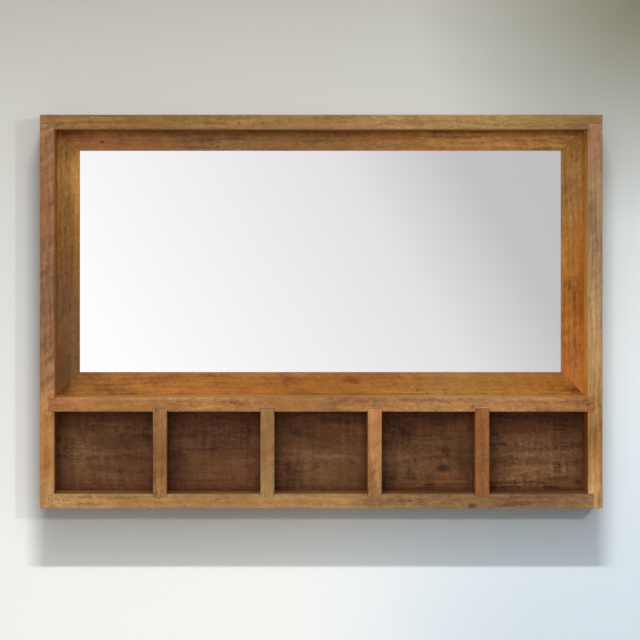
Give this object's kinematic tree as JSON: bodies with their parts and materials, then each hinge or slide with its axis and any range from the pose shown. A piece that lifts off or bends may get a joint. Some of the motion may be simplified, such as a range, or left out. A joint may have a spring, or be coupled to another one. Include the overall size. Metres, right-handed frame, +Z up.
{
  "type": "wall shelf with mirror",
  "caption": "Solid wood wall shelf: a framed rectangular mirror set into the upper bay of a box carcass, above a row of open cubbies.",
  "frame": {"origin": "on the wall, at the middle of the top board's back face", "axes": "+X to the right as seen from the front, +Y into the wall, +Z up"},
  "size_m": [1, 0.1, 0.7],
  "materials": {
    "carcass_wood": "waxed mango wood, mid brown",
    "frame_wood": "waxed mango wood, amber",
    "panel_wood": "waxed mango wood, dark brown",
    "pale_wood": "bare hardwood",
    "fibreboard": "bare fibreboard",
    "mirror": "silvered float glass",
    "zinc_plate": "zinc-plated",
    "bright_steel": "bright steel"
  },
  "bodies": {
    "root": {"top_board": "carcass_wood", "left_side": "carcass_wood", "right_side": "carcass_wood", "bottom_board": "carcass_wood", "middle_shelf": "carcass_wood", "divider_1": "carcass_wood", "divider_2": "carcass_wood", "divider_3": "carcass_wood", "divider_4": "carcass_wood", "cubby_back_panel": "panel_wood", "frame_top_rail": "frame_wood", "frame_bottom_rail": "frame_wood", "frame_left_stile": "frame_wood", "frame_right_stile": "frame_wood", "mitre_keys": "pale_wood", "frame_pins": "bright_steel", "mirror_glass": "mirror", "mirror_backing_board": "fibreboard", "mirror_clips": "zinc_plate", "mirror_clip_screws": "bright_steel", "back_panel_screws": "zinc_plate", "hanger_plate_left": "zinc_plate", "hanger_plate_right": "zinc_plate", "hanger_screws": "bright_steel", "carcass_dowels": "pale_wood"}
  },
  "joints": []
}
